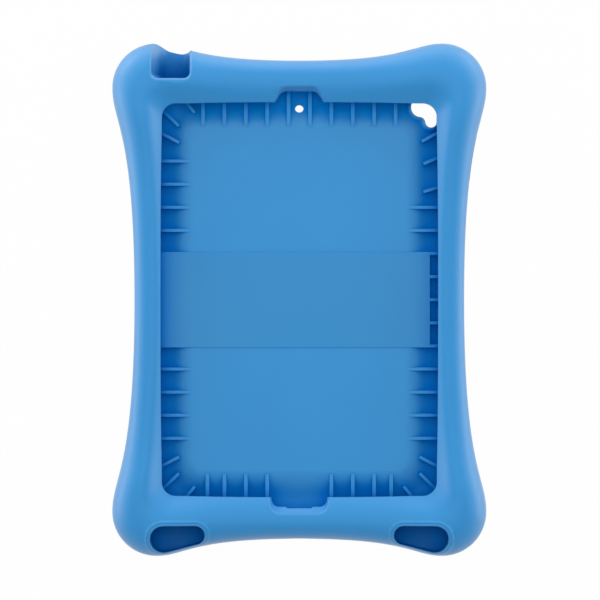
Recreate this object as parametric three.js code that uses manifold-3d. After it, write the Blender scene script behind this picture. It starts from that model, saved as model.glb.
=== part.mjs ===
// A one-piece moulded silicone case for a tablet of about ten inches. It lies on its back: +X is the
// tablet's width, +Y runs to the tablet's top edge, +Z faces the user. The origin is on the table, under
// the middle. Millimetres.
//
// The case is a thick bumper, pinched at its four waists and swollen at its four corners, with a thin
// back panel. A lip holds the tablet's glass edge. Behind the lip a gutter runs round the floor. Ribs
// bridge it and stand up along the wall, so that a knock reaches the tablet through ribs and air.

import * as THREE from 'three';
import { mergeVertices } from 'three/addons/utils/BufferGeometryUtils.js';
import Module from 'manifold-3d';

const wasm = await Module();
wasm.setup();

// Tablet that the case holds
const tabletWidth = 174.1;
const tabletHeight = 250.6;
const tabletThickness = 7.5;
const tabletCorner = 11;

// Pocket round the tablet
const ribStandOff = 2.5;
const lipClearance = 0.2;

// Back panel, and how far it stands above the table
const panelLift = 5.8;
const panelThickness = 2.2;

// Gutter round the floor: flat under the lip, then a long slope that eases in and out up to the panel
const gutterDepth = 4.8;
const gutterFlat = 7;
const gutterSlope = 18;
const gutterFillet = 2;
const floorCorner = 8;

// Lip over the glass, and the window that it leaves
const sideLipReach = 4.1;
const endLipReach = 7.3;
const lipThickness = 3;
const lipEdgeSlope = 0.5;
const windowCorner = 8.4;
const windowBow = 0.8;

// Bumper outside the pocket wall: at its waists, and how much it grows at the corners
const sideBumper = 9.15;
const endBumper = 15.3;
const cornerGrowSide = 13.3;
const cornerGrowEnd = 10.3;
const cornerRadius = 26.4;

// Where each waist's long curve lets go of the straight, and how softly it meets the corner's arc
const sideCurveReach = 101.9;
const sideCurveEase = 21.4;
const endCurveReach = 66.1;
const endCurveEase = 17.5;

// Bumper section: heights above the table, and half-axes of its rounding
const sideCrest = 20.4;
const endCrest = 22.5;
const cornerCrest = 25.5;
const waistGirth = 13.2;
const cornerGirth = 12.8;
const waistLift = 1.2;
const waistRound = 11;
const cornerRound = 20;
const waistUnderRound = 9;
const cornerUnderRound = 14;
const footReach = 12.5;
const recessRamp = 9;

// Ribs
const sideRibPitch = 13.88;
const endRibPitch = 12.85;
const sideRibThickness = 1.8;
const endRibThickness = 2.2;
const ribRise = 0.3;
const sideRibLength = 25;
const endRibLength = 23.3;
const sideRibTip = 0.08;
const endRibPairs = 5;
const sideRibsEachWay = 6;
const outerFootRibX = 55.2;

// Raised band across the floor
const bandRibsEachWay = 2;
const bandEndGap = 11.15;

// Notch in the lip for the front camera, and the one for the home button
const cameraNotchMouth = 30.4;
const cameraNotchFar = 20.6;
const cameraNotchDepth = 6.5;
const cameraNotchCorner = 2.8;
const cameraNotchBevel = 3.2;
const cameraNotchSideBevel = 0.8;
const homeNotchMouth = 33.8;
const homeNotchFar = 31.8;
const homeNotchDepth = 5.8;
const homeNotchCorner = 4.2;
const homeNotchBevel = 4.9;
const homeNotchSideBevel = 1;

// Rear camera opening: two lobes and a raised collar
const lensFromSide = 14.05;
const lensFromTop = 9.7;
const lensLobe = 5.8;
const flashFromLensX = 6.2;
const flashFromLensY = 8.6;
const flashLobe = 3.5;
const lensFillet = 3.6;
const collarWidth = 2;
const lensFlare = 2;
const lensFlareDepth = 3;

// Microphone hole in the panel
const micFromTop = 10.3;
const micDiameter = 5;

// Headphone notch in the top left corner, with its hole into the pocket
const jackFromSide = 12.25;
const jackDiameter = 7;
const jackWall = 4.8;
const jackNotchFloor = 3.4;
const jackNotchFloorHalf = 1.5;
const jackNotchOuter = 14.7;
const jackNotchInner = 10.3;
const jackNotchCorner = 3.5;

// Sound scoops in the bottom corners: two circles and their common tangents, in a shallow rim
const scoopOuterX = 80.75;
const scoopOuterRadius = 8.15;
const scoopInnerX = 62.15;
const scoopInnerRadius = 5.75;
const scoopWall = 6.8;
const scoopFloor = 7;
const scoopRimWidth = 2.8;
const scoopRimDepth = 0.9;
const soundSlotWidth = 18;
const soundSlotHeight = 5;

// Charging port: a tunnel to the outside, and a relief over the plug in the lip
const portWidth = 14;
const portHeight = 7.5;
const portDrop = 0.6;
const portCorner = 2.5;
const portReliefWidth = 16;
const portReliefDepth = 1;
const portReliefHeight = 1.2;

// Button pads. A groove outlines each outside, a slot frees its post inside.
const volumeFromTop = 41;
const volumeLength = 27;
const powerFromSide = 24;
const powerLength = 13;
const padWidth = 5;
const padSkin = 3;
const padSlotWidth = 1.5;
const padGrooveWidth = 1;
const padGrooveDepth = 0.5;
const padClearance = 0.3;

// Smoothness of the curves
const sideSteps = 11;
const cornerSteps = 9;
const endSteps = 9;
const arcSteps = 5;
const through = 30;
const bite = 1;

// Levels and half sizes that follow
const floorZ = panelLift + panelThickness;
const gutterZ = floorZ - gutterDepth;
const tabletBackZ = floorZ + ribRise;
const tabletMiddleZ = tabletBackZ + tabletThickness / 2;
const lipUnderZ = tabletBackZ + tabletThickness + lipClearance;
const lipEdgeZ = lipUnderZ + lipThickness;
const tabletX = tabletWidth / 2;
const tabletY = tabletHeight / 2;
const pocketX = tabletX + ribStandOff;
const pocketY = tabletY + ribStandOff;
const pocketCorner = tabletCorner + ribStandOff;
const windowX = tabletX - sideLipReach;
const windowY = tabletY - endLipReach;
const waistX = pocketX + sideBumper;
const waistY = pocketY + endBumper;
const cornerX = waistX + cornerGrowSide;
const cornerY = waistY + cornerGrowEnd;

const mix = (a, b, share) => a + (b - a) * share;

// Solids

function toSolid(geometry) {
  const bare = geometry.clone();
  for (const name of ['normal', 'uv']) bare.deleteAttribute(name);
  const merged = mergeVertices(bare, 1e-4);
  return new wasm.Manifold(
    new wasm.Mesh({
      numProp: 3,
      vertProperties: merged.attributes.position.array,
      triVerts: new Uint32Array(merged.index.array),
    }),
  );
}

function toGeometry(solid) {
  const mesh = solid.getMesh();
  return new THREE.BufferGeometry()
    .setAttribute('position', new THREE.BufferAttribute(mesh.vertProperties, 3))
    .setIndex(new THREE.BufferAttribute(mesh.triVerts, 1))
    .toNonIndexed();
}

// A closed skin over rings of points, lowest ring first, each ring anticlockwise seen from above.
function loft(rings) {
  const count = rings[0].length;
  const points = rings.flat();
  const faces = [];
  const quad = (a, b, c, d) => faces.push(a, b, c, a, c, d);
  for (let ring = 0; ring < rings.length - 1; ring++) {
    for (let i = 0; i < count; i++) {
      const next = (i + 1) % count;
      const low = ring * count;
      const high = low + count;
      quad(low + i, low + next, high + next, high + i);
    }
  }
  const addCap = (ring, start, facesUp) => {
    const middle = ring.reduce((sum, p) => sum.add(p), new THREE.Vector3());
    points.push(middle.divideScalar(count));
    for (let i = 0; i < count; i++) {
      const edge = [start + i, start + ((i + 1) % count)];
      faces.push(...(facesUp ? edge : edge.reverse()), points.length - 1);
    }
  };
  addCap(rings[0], 0, false);
  addCap(rings.at(-1), (rings.length - 1) * count, true);
  const geometry = new THREE.BufferGeometry().setFromPoints(points);
  geometry.setIndex(faces);
  return toSolid(geometry);
}

function ringAt(points, z) {
  return points.map((p) => new THREE.Vector3(p.x, p.y, z));
}

function extrude(shape, depth, place = new THREE.Matrix4(), curveSegments = arcSteps) {
  const geometry = new THREE.ExtrudeGeometry(shape, { depth, bevelEnabled: false, curveSegments });
  return toSolid(geometry.applyMatrix4(place));
}

// Puts a shape drawn in its own plane into the part: `right` and `up` are its axes, `at` its origin.
function placeShape(right, up, at) {
  const out = new THREE.Vector3().crossVectors(right, up);
  return new THREE.Matrix4().makeBasis(right, up, out).setPosition(at);
}

const axisX = new THREE.Vector3(1, 0, 0);
const axisY = new THREE.Vector3(0, 1, 0);
const axisZ = new THREE.Vector3(0, 0, 1);

// Outlines

// A closed outline from one quarter, which runs from +X round to +Y and is mirrored twice.
function fourQuarters(quarter) {
  const open = quarter.slice(0, -1);
  const back = quarter.slice(1).reverse();
  const turn = (points, sx, sy) => points.map((p) => new THREE.Vector2(p.x * sx, p.y * sy));
  return [...open, ...turn(back, -1, 1), ...turn(open, -1, -1), ...turn(back, 1, -1)];
}

// One quarter: a long side curve, the corner's arc and a long end curve.
function quarterOutline({ middleX, middleY, edgeX, edgeY, radius, sideReach, sideEase, endReach, endEase }) {
  const arcX = edgeX - radius;
  const arcY = edgeY - radius;
  const v = (x, y) => new THREE.Vector2(x, y);
  const side = new THREE.CubicBezierCurve(
    v(middleX, 0), v(middleX, sideReach), v(edgeX, arcY - sideEase), v(edgeX, arcY),
  );
  const corner = new THREE.EllipseCurve(arcX, arcY, radius, radius, 0, Math.PI / 2);
  const end = new THREE.CubicBezierCurve(
    v(arcX, edgeY), v(arcX - endEase, edgeY), v(endReach, middleY), v(0, middleY),
  );
  return [
    ...side.getPoints(sideSteps).slice(0, -1),
    ...corner.getPoints(cornerSteps),
    ...end.getPoints(endSteps).slice(1),
  ];
}

function bumperOutline(inset = 0) {
  return fourQuarters(quarterOutline({
    middleX: waistX - inset,
    middleY: waistY - inset,
    edgeX: cornerX - inset,
    edgeY: cornerY - inset,
    radius: cornerRadius - inset,
    sideReach: sideCurveReach,
    sideEase: sideCurveEase,
    endReach: endCurveReach,
    endEase: endCurveEase,
  }));
}

// The foot's inner edge, with as many points as the bumper's outline. The recess trims it to length.
function footOutline() {
  const inset = footReach + bite;
  const edgeX = pocketX - inset;
  const edgeY = pocketY - inset;
  const radius = floorCorner + gutterFlat + gutterSlope - footReach;
  const sideShare = (edgeY - radius) / (cornerY - cornerRadius);
  const endShare = (edgeX - radius) / (cornerX - cornerRadius);
  return fourQuarters(quarterOutline({
    middleX: edgeX,
    middleY: edgeY,
    edgeX,
    edgeY,
    radius,
    sideReach: sideCurveReach * sideShare,
    sideEase: sideCurveEase * sideShare,
    endReach: endCurveReach * endShare,
    endEase: endCurveEase * endShare,
  }));
}

// The window's long edges bow out a little, and share the bumper's steps so that the two line up.
function windowOutline() {
  const straightSide = windowY - windowCorner;
  const straightEnd = windowX - windowCorner;
  return fourQuarters(quarterOutline({
    middleX: windowX,
    middleY: windowY,
    edgeX: windowX - windowBow,
    edgeY: windowY - windowBow,
    radius: windowCorner,
    sideReach: straightSide * (sideCurveReach / (cornerY - cornerRadius)),
    sideEase: straightSide * (sideCurveEase / (cornerY - cornerRadius)),
    endReach: straightEnd * (endCurveReach / (cornerX - cornerRadius)),
    endEase: straightEnd * (endCurveEase / (cornerX - cornerRadius)),
  }));
}

function roundedRectangle(halfX, halfY, radius) {
  const quarter = new THREE.EllipseCurve(halfX - radius, halfY - radius, radius, radius, 0, Math.PI / 2);
  const points = quarter.getPoints(cornerSteps);
  const turn = (list, sx, sy) => list.map((p) => new THREE.Vector2(p.x * sx, p.y * sy));
  const back = [...points].reverse();
  return [...points, ...turn(back, -1, 1), ...turn(points, -1, -1), ...turn(back, 1, -1)];
}

// A slot with round ends, drawn about its own middle.
function slotShape(length, width) {
  const reach = (length - width) / 2;
  const shape = new THREE.Shape();
  shape.absarc(reach, 0, width / 2, -Math.PI / 2, Math.PI / 2);
  shape.absarc(-reach, 0, width / 2, Math.PI / 2, (3 * Math.PI) / 2);
  return shape;
}

// Bumper

// How far a point of the outline has left its waist for the corner, from 0 to 1, and which waist it is.
function swelling(point, inset) {
  const alongSide = Math.abs(point.y) < cornerY - cornerRadius;
  const alongEnd = Math.abs(point.x) < cornerX - cornerRadius;
  if (alongSide) return { share: (Math.abs(point.x) + inset - waistX) / cornerGrowSide, crest: sideCrest };
  if (alongEnd) return { share: (Math.abs(point.y) + inset - waistY) / cornerGrowEnd, crest: endCrest };
  return { share: 1, crest: cornerCrest };
}

// The section's points from the foot, round the outside, to just inside the window's edge. x is the
// distance in from the silhouette, y the height. `width` is silhouette to window.
function bumperSection(width, inset, { share, crest }) {
  const crestZ = mix(crest, cornerCrest, share) - inset;
  const girthZ = mix(waistGirth, cornerGirth, share);
  const footZ = mix(waistLift, 0, share) + inset;
  const round = mix(waistRound, cornerRound, share) - inset;
  const underRound = mix(waistUnderRound, cornerUnderRound, share) - inset;
  const edgeZ = lipEdgeZ - inset;
  const v = (x, y) => new THREE.Vector2(x, y);
  const under = new THREE.EllipseCurve(
    underRound, girthZ, underRound, girthZ - footZ, -Math.PI / 2, -Math.PI, true,
  );
  const over = new THREE.EllipseCurve(round, girthZ, round, crestZ - girthZ, Math.PI, Math.PI / 2, true);
  const slope = width - round;
  const inner = new THREE.CubicBezierCurve(
    v(round, crestZ),
    v(round + slope * 0.45, crestZ),
    v(width - slope * 0.35, edgeZ + slope * 0.35 * lipEdgeSlope),
    v(width, edgeZ),
  );
  return [
    ...under.getPoints(arcSteps).slice(0, -1),
    ...over.getPoints(arcSteps + 1).slice(0, -1),
    ...inner.getPoints(arcSteps - 1),
    v(width + bite, edgeZ - bite * lipEdgeSlope),
  ];
}

// The whole outside of the case, still solid, over a flat foot. `inset` draws it that much smaller.
function bumperBody(inset = 0) {
  const outline = bumperOutline(inset);
  const window = windowOutline();
  const foot = footOutline();
  const sections = outline.map((p, i) => {
    const width = p.distanceTo(window[i]);
    const inward = window[i].clone().sub(p).divideScalar(width);
    const section = bumperSection(width, inset, swelling(p, inset));
    const skin = section.map((s) => new THREE.Vector3(p.x + inward.x * s.x, p.y + inward.y * s.x, s.y));
    return [new THREE.Vector3(foot[i].x, foot[i].y, section[0].y), ...skin];
  });
  const rings = sections[0].map((_, level) => sections.map((section) => section[level]));
  return loft(rings);
}

// Floor, gutter, pocket and window

// The pocket's outline drawn in by `inset`, down to the floor's own corner radius.
function floorOutline(inset) {
  const corner = floorCorner + gutterFlat + gutterSlope - inset;
  return roundedRectangle(pocketX - inset, pocketY - inset, corner);
}

// The recess under the panel, which leaves the bumper's foot standing round it.
function recess() {
  const mouth = floorOutline(footReach);
  const roof = floorOutline(footReach + recessRamp);
  return loft([ringAt(mouth, -bite), ringAt(mouth, 0), ringAt(roof, panelLift)]);
}

function pocket() {
  const outline = roundedRectangle(pocketX, pocketY, pocketCorner);
  return loft([ringAt(outline, floorZ), ringAt(outline, lipUnderZ)]);
}

// The tablet itself, up to the lip. Ribs are cut back to it where they meet its round corners.
function tabletSpace() {
  const outline = roundedRectangle(tabletX, tabletY, tabletCorner);
  return loft([ringAt(outline, tabletBackZ), ringAt(outline, lipUnderZ)]);
}

// The gutter's cut: the pocket's outline with a filleted foot, less the floor that rises inside it.
function gutter() {
  const wall = (angle) => {
    const inset = gutterFillet * (1 - Math.cos(angle));
    const outline = roundedRectangle(pocketX - inset, pocketY - inset, pocketCorner - inset);
    return ringAt(outline, gutterZ + gutterFillet * (1 - Math.sin(angle)));
  };
  const top = ringAt(roundedRectangle(pocketX, pocketY, pocketCorner), floorZ + bite);
  const trench = loft([...[0.5, 0.25, 0].map((turn) => wall(turn * Math.PI)), top]);
  const rise = (share) => {
    const eased = THREE.MathUtils.smoothstep(share, 0, 1);
    return ringAt(floorOutline(gutterFlat + gutterSlope * share), gutterZ + gutterDepth * eased);
  };
  const under = ringAt(floorOutline(gutterFlat), gutterZ - bite);
  const above = ringAt(floorOutline(gutterFlat + gutterSlope), floorZ + 2 * bite);
  const hill = loft([under, ...[0, 0.2, 0.4, 0.6, 0.8, 1].map(rise), above]);
  return trench.subtract(hill);
}

function windowCut() {
  const outline = windowOutline();
  return loft([ringAt(outline, lipUnderZ - bite), ringAt(outline, cornerCrest + bite)]);
}

// A notch in the lip, whose walls lean back on the way up. It points to +Y.
function lipNotch({ mouth, far, depth, corner, bevel, sideBevel }) {
  const rise = endCrest - lipUnderZ;
  const outline = (share) => {
    const grow = sideBevel * share;
    const farY = windowY + depth + bevel * share;
    const start = new THREE.Vector2(mouth / 2 + grow, windowY - bite);
    const turn = new THREE.Vector2(far / 2 + grow, farY);
    const before = turn.clone().add(start.clone().sub(turn).setLength(corner));
    const shape = new THREE.Shape();
    shape.moveTo(start.x, start.y);
    shape.lineTo(before.x, before.y);
    shape.quadraticCurveTo(turn.x, turn.y, turn.x - corner, turn.y);
    shape.lineTo(corner - turn.x, turn.y);
    shape.quadraticCurveTo(-turn.x, turn.y, -before.x, before.y);
    shape.lineTo(-start.x, start.y);
    return shape.getPoints(arcSteps - 1);
  };
  const ring = (share) => ringAt(outline(share), lipUnderZ + rise * share);
  return loft([ring(-bite / rise), ring(1 + bite / rise)]);
}

// Ribs

// A rib's side view: x runs in from the pocket wall, y is height. It stands up along the wall to the
// lip, and runs level over the gutter until the floor comes up to meet it.
function ribShape(length, tip) {
  const shape = new THREE.Shape();
  shape.moveTo(-bite, gutterZ - bite / 2);
  shape.lineTo(length, gutterZ - bite / 2);
  shape.lineTo(length, floorZ + tip);
  shape.lineTo(ribStandOff, floorZ + ribRise);
  shape.lineTo(ribStandOff, lipUnderZ + bite / 2);
  shape.lineTo(-bite, lipUnderZ + bite / 2);
  return shape;
}

// `heading` is the direction in the plan, in degrees, in which the rib leaves the wall.
function rib(x, y, heading, length, thickness, tip = ribRise) {
  const turn = THREE.MathUtils.degToRad(heading);
  const along = new THREE.Vector3(Math.cos(turn), Math.sin(turn), 0);
  const across = new THREE.Vector3().crossVectors(along, axisZ);
  const start = new THREE.Vector3(x, y, 0).addScaledVector(across, -thickness / 2);
  return extrude(ribShape(length, tip), thickness, placeShape(along, axisZ, start));
}

// Ribs that fan round a corner, as distances in from the pocket's side and end walls.
const cornerFan = [
  { fromSide: 0, fromEnd: 24.5, turn: 27, length: 19.5 },
  { fromSide: 1.2, fromEnd: 8, turn: 44, length: 22.2 },
  { fromSide: 13.9, fromEnd: 0.2, turn: 50, length: 20 },
];
// Behind the volume keys the side ribs are short and lean towards the middle.
const volumeRibs = [
  { fromEnd: 24.2, turn: 31, length: 17.7 },
  { fromEnd: 39.8, turn: 23, length: 16.3 },
  { fromEnd: 58.4, turn: 17, length: 15.7 },
];

function ribs() {
  const made = [];
  for (let k = -sideRibsEachWay; k <= sideRibsEachWay; k++) {
    const y = k * sideRibPitch;
    const underBand = Math.abs(k) < bandRibsEachWay;
    const atVolumeKeys = k > sideRibsEachWay - 2;
    if (!underBand) made.push(rib(-pocketX, y, 0, sideRibLength, sideRibThickness, sideRibTip));
    if (!atVolumeKeys) made.push(rib(pocketX, y, 180, sideRibLength, sideRibThickness, sideRibTip));
  }
  for (const side of [-1, 1]) {
    for (let k = 0; k < endRibPairs; k++) {
      const x = side * (k + 0.5) * endRibPitch;
      made.push(rib(x, pocketY, 270, endRibLength, endRibThickness));
      const homeButtonBelow = k === 0;
      const outermost = k === endRibPairs - 1;
      if (homeButtonBelow) continue;
      const footX = outermost ? side * outerFootRibX : x;
      made.push(rib(footX, -pocketY, 90, endRibLength, endRibThickness));
    }
  }
  for (const [sx, sy] of [[-1, 1], [-1, -1], [1, -1]]) {
    for (const { fromSide, fromEnd, turn, length } of cornerFan) {
      const towards = Math.atan2(-sy * Math.sin(turn * Math.PI / 180), -sx * Math.cos(turn * Math.PI / 180));
      const heading = THREE.MathUtils.radToDeg(towards);
      const x = sx * (pocketX - fromSide);
      const y = sy * (pocketY - fromEnd);
      made.push(rib(x, y, heading, length, sideRibThickness));
    }
  }
  for (const { fromEnd, turn, length } of volumeRibs) {
    made.push(rib(pocketX, pocketY - fromEnd, 180 + turn, length, sideRibThickness));
  }
  return made;
}

// The band is as high as the ribs and as wide as the gap between two of them on each side of the
// middle. It starts at the left wall and stops short of the right one, where ribs bridge what is left.
const bandHalf = bandRibsEachWay * sideRibPitch + sideRibThickness / 2;
const bandLength = 2 * pocketX - bandEndGap;

function band() {
  const from = new THREE.Vector3(-pocketX, bandHalf, 0);
  return extrude(ribShape(bandLength, ribRise), 2 * bandHalf, placeShape(axisX, axisZ, from));
}

// Openings

// The rear camera's opening, with `grow` added all round: a wide lobe for the lens, a small one for the
// flash, and a hollow that touches both.
function lensShape(grow) {
  const lens = new THREE.Vector2(tabletX - lensFromSide, tabletY - lensFromTop);
  const flash = new THREE.Vector2(lens.x + flashFromLensX, lens.y - flashFromLensY);
  const big = lensLobe + grow;
  const small = flashLobe + grow;
  const rightX = flash.x + flashLobe - lensLobe;
  const apart = flash.distanceTo(lens);
  const towards = flash.clone().sub(lens).divideScalar(apart);
  const toHollow = lensLobe + lensFillet;
  const along = (toHollow ** 2 - (flashLobe + lensFillet) ** 2 + apart ** 2) / (2 * apart);
  const aside = Math.sqrt(toHollow ** 2 - along ** 2);
  const hollow = new THREE.Vector2(
    lens.x + towards.x * along + towards.y * aside,
    lens.y + towards.y * along - towards.x * aside,
  );
  const lensTurn = Math.atan2(hollow.y - lens.y, hollow.x - lens.x);
  const flashTurn = Math.atan2(hollow.y - flash.y, hollow.x - flash.x);
  const shape = new THREE.Shape();
  shape.absarc(rightX, lens.y, big, 0, Math.PI / 2);
  shape.absarc(lens.x, lens.y, big, Math.PI / 2, lensTurn + 2 * Math.PI);
  shape.absarc(hollow.x, hollow.y, lensFillet - grow, lensTurn + Math.PI, flashTurn + Math.PI, true);
  shape.absarc(flash.x, flash.y, small, flashTurn, 2 * Math.PI);
  return shape;
}

function lensCollar() {
  const lift = new THREE.Matrix4().makeTranslation(0, 0, gutterZ - bite);
  return extrude(lensShape(collarWidth), gutterDepth + bite, lift);
}

function lensCut() {
  const narrow = lensShape(0).getPoints(2 * arcSteps);
  const wide = lensShape(lensFlare).getPoints(2 * arcSteps);
  return loft([
    ringAt(wide, -bite),
    ringAt(wide, 0),
    ringAt(narrow, lensFlareDepth),
    ringAt(narrow, floorZ + bite),
  ]);
}

function micCut() {
  const hole = new THREE.CylinderGeometry(micDiameter / 2, micDiameter / 2, 2 * floorZ, 16);
  return toSolid(hole.rotateX(Math.PI / 2).translate(0, tabletY - micFromTop, floorZ));
}

// The headphone notch: a lopsided trough, cut to a plan with round inner corners.
function jackNotch() {
  const x = jackFromSide - tabletX;
  const innerY = pocketY + jackWall;
  const top = cornerCrest + bite;
  const trough = new THREE.Shape();
  trough.moveTo(-jackNotchOuter, top);
  trough.bezierCurveTo(
    -jackNotchOuter * 0.7, jackNotchFloor + 5.6, -jackNotchOuter * 0.58, jackNotchFloor,
    -jackNotchFloorHalf, jackNotchFloor,
  );
  trough.lineTo(jackNotchFloorHalf, jackNotchFloor);
  trough.bezierCurveTo(
    jackNotchInner * 0.64, jackNotchFloor, jackNotchInner * 0.95, jackNotchFloor + 4,
    jackNotchInner, top,
  );
  const from = new THREE.Vector3(x, innerY + through, 0);
  const cut = extrude(trough, through, placeShape(axisX, axisZ, from), 2 * arcSteps);
  const plan = new THREE.Shape();
  plan.moveTo(-jackNotchOuter, innerY + through);
  plan.lineTo(-jackNotchOuter, innerY + jackNotchCorner);
  plan.quadraticCurveTo(-jackNotchOuter, innerY, jackNotchCorner - jackNotchOuter, innerY);
  plan.lineTo(jackNotchInner - jackNotchCorner, innerY);
  plan.quadraticCurveTo(jackNotchInner, innerY, jackNotchInner, innerY + jackNotchCorner);
  plan.lineTo(jackNotchInner, innerY + through);
  return cut.intersect(extrude(plan, top, new THREE.Matrix4().makeTranslation(x, 0, 0)));
}

function jackHole() {
  const length = ribStandOff + jackWall + bite;
  const hole = new THREE.CylinderGeometry(jackDiameter / 2, jackDiameter / 2, length, 20);
  return toSolid(hole.translate(jackFromSide - tabletX, tabletY + length / 2, tabletMiddleZ));
}

// A sound scoop's plan, on the right side: two circles and the lines that touch both, with `grow`
// added all round.
function scoopPlan(grow = 0) {
  const apart = scoopOuterX - scoopInnerX;
  const edgeY = -(pocketY + scoopWall);
  const inner = new THREE.Vector2(scoopInnerX, edgeY - scoopInnerRadius);
  const outer = new THREE.Vector2(scoopOuterX, edgeY - scoopOuterRadius);
  const lean = Math.atan2(outer.y - inner.y, apart);
  const touch = Math.acos((scoopInnerRadius - scoopOuterRadius) / outer.distanceTo(inner));
  const shape = new THREE.Shape();
  shape.absarc(inner.x, inner.y, scoopInnerRadius + grow, lean + touch, lean - touch + 2 * Math.PI);
  shape.absarc(outer.x, outer.y, scoopOuterRadius + grow, lean - touch, lean + touch);
  return shape;
}

function soundScoop() {
  const lift = (z) => new THREE.Matrix4().makeTranslation(0, 0, z);
  const well = extrude(scoopPlan(), cornerCrest, lift(scoopFloor), 8);
  const rim = extrude(scoopPlan(scoopRimWidth), cornerCrest, lift(tabletMiddleZ + 4 * bite), 8);
  const slot = new THREE.BoxGeometry(soundSlotWidth, scoopWall + 4 * bite, soundSlotHeight);
  const middleX = (scoopInnerX + scoopOuterX) / 2;
  return well
    .add(rim.subtract(bumperBody(scoopRimDepth)))
    .add(toSolid(slot.translate(middleX, -pocketY - scoopWall / 2, tabletMiddleZ)));
}

function portCut() {
  const half = portWidth / 2;
  const section = new THREE.Shape();
  const corner = (x, y, from) => section.absarc(x, y, portCorner, from, from + Math.PI / 2);
  const reachX = half - portCorner;
  const reachY = portHeight / 2 - portCorner;
  corner(reachX, reachY, 0);
  corner(-reachX, reachY, Math.PI / 2);
  corner(-reachX, -reachY, Math.PI);
  corner(reachX, -reachY, 1.5 * Math.PI);
  const startY = -(windowY + homeNotchDepth);
  const from = new THREE.Vector3(0, startY, tabletMiddleZ - portDrop);
  const tunnel = extrude(section, through, placeShape(axisX, axisZ, from), 3);
  const reliefTop = lipUnderZ + portReliefHeight;
  const relief = new THREE.BoxGeometry(portReliefWidth, portReliefDepth + bite, reliefTop - tabletMiddleZ);
  const reliefY = startY + (bite - portReliefDepth) / 2;
  return tunnel.add(toSolid(relief.translate(0, reliefY, (reliefTop + tabletMiddleZ) / 2)));
}

// Where each pad sits. `place` turns the pad's outline to face out of the bumper, from the tablet's edge.
function pads() {
  const volumeAt = new THREE.Vector3(tabletX, tabletY - volumeFromTop, tabletMiddleZ);
  const powerAt = new THREE.Vector3(tabletX - powerFromSide, tabletY, tabletMiddleZ);
  return [
    { length: volumeLength, wall: sideBumper, place: placeShape(axisY, axisZ, volumeAt) },
    { length: powerLength, wall: endBumper, place: placeShape(axisX.clone().negate(), axisZ, powerAt) },
  ];
}

// A ring round the pad's outline, `width` wide, that runs from `near` to `far` outside the tablet's edge.
function padRing({ length, place }, width, near, far) {
  const start = place.clone().multiply(new THREE.Matrix4().makeTranslation(0, 0, near));
  const outside = extrude(slotShape(length + 2 * width, padWidth + 2 * width), far - near, start);
  return outside.subtract(extrude(slotShape(length, padWidth), far - near, start));
}

function padCuts() {
  const grooveFloor = bumperBody(padGrooveDepth);
  const cuts = [];
  for (const pad of pads()) {
    const wallFrom = ribStandOff;
    cuts.push(padRing(pad, padSlotWidth, wallFrom - bite, wallFrom + pad.wall - padSkin));
    cuts.push(padRing(pad, padGrooveWidth, wallFrom + bite, wallFrom + through).subtract(grooveFloor));
  }
  return cuts;
}

function padPosts() {
  return pads().map(({ length, place }) => {
    const start = place.clone().multiply(new THREE.Matrix4().makeTranslation(0, 0, padClearance));
    return extrude(slotShape(length, padWidth), ribStandOff - padClearance + bite, start);
  });
}

// Case

function caseSolid() {
  const cameraNotch = lipNotch({
    mouth: cameraNotchMouth,
    far: cameraNotchFar,
    depth: cameraNotchDepth,
    corner: cameraNotchCorner,
    bevel: cameraNotchBevel,
    sideBevel: cameraNotchSideBevel,
  });
  const homeNotch = lipNotch({
    mouth: homeNotchMouth,
    far: homeNotchFar,
    depth: homeNotchDepth,
    corner: homeNotchCorner,
    bevel: homeNotchBevel,
    sideBevel: homeNotchSideBevel,
  }).mirror([0, 1, 0]);
  const scoop = soundScoop();
  let solid = bumperBody().subtract(pocket()).subtract(gutter()).subtract(windowCut());
  for (const piece of [...ribs(), band(), lensCollar(), ...padPosts()]) solid = solid.add(piece);
  const cuts = [
    recess(), tabletSpace(), cameraNotch, homeNotch, lensCut(), micCut(), jackNotch(), jackHole(),
    scoop, scoop.mirror([1, 0, 0]), portCut(), ...padCuts(),
  ];
  for (const cut of cuts) solid = solid.subtract(cut);
  return solid;
}

const silicone = new THREE.MeshStandardMaterial({ color: 0x3f8fce, roughness: 0.55, metalness: 0 });
const caseMesh = new THREE.Mesh(toGeometry(caseSolid()), silicone);
caseMesh.name = 'tablet_case';
caseMesh.geometry.computeVertexNormals();

const tabletCase = new THREE.Group();
tabletCase.add(caseMesh);

export default tabletCase;
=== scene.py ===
"""A moulded silicone tablet case on a white table, seen straight from above."""

import math

import bmesh
import bpy
from mathutils import Matrix, Vector


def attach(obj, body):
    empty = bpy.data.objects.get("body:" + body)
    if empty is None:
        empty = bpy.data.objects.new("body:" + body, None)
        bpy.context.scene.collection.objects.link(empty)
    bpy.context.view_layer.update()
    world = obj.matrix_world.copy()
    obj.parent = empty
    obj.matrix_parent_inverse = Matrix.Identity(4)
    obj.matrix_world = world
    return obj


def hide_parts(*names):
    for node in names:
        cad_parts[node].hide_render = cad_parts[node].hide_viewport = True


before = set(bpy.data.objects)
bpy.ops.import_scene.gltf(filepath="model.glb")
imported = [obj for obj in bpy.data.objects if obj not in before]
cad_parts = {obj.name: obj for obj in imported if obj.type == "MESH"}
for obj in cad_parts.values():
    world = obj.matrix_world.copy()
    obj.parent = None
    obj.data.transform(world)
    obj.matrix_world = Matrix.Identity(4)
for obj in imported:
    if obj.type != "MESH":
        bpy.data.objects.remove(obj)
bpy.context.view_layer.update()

MM = 0.001
RIGHT = Vector((1, 0, 0))
UP = Vector((0, 0, 1))

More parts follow.
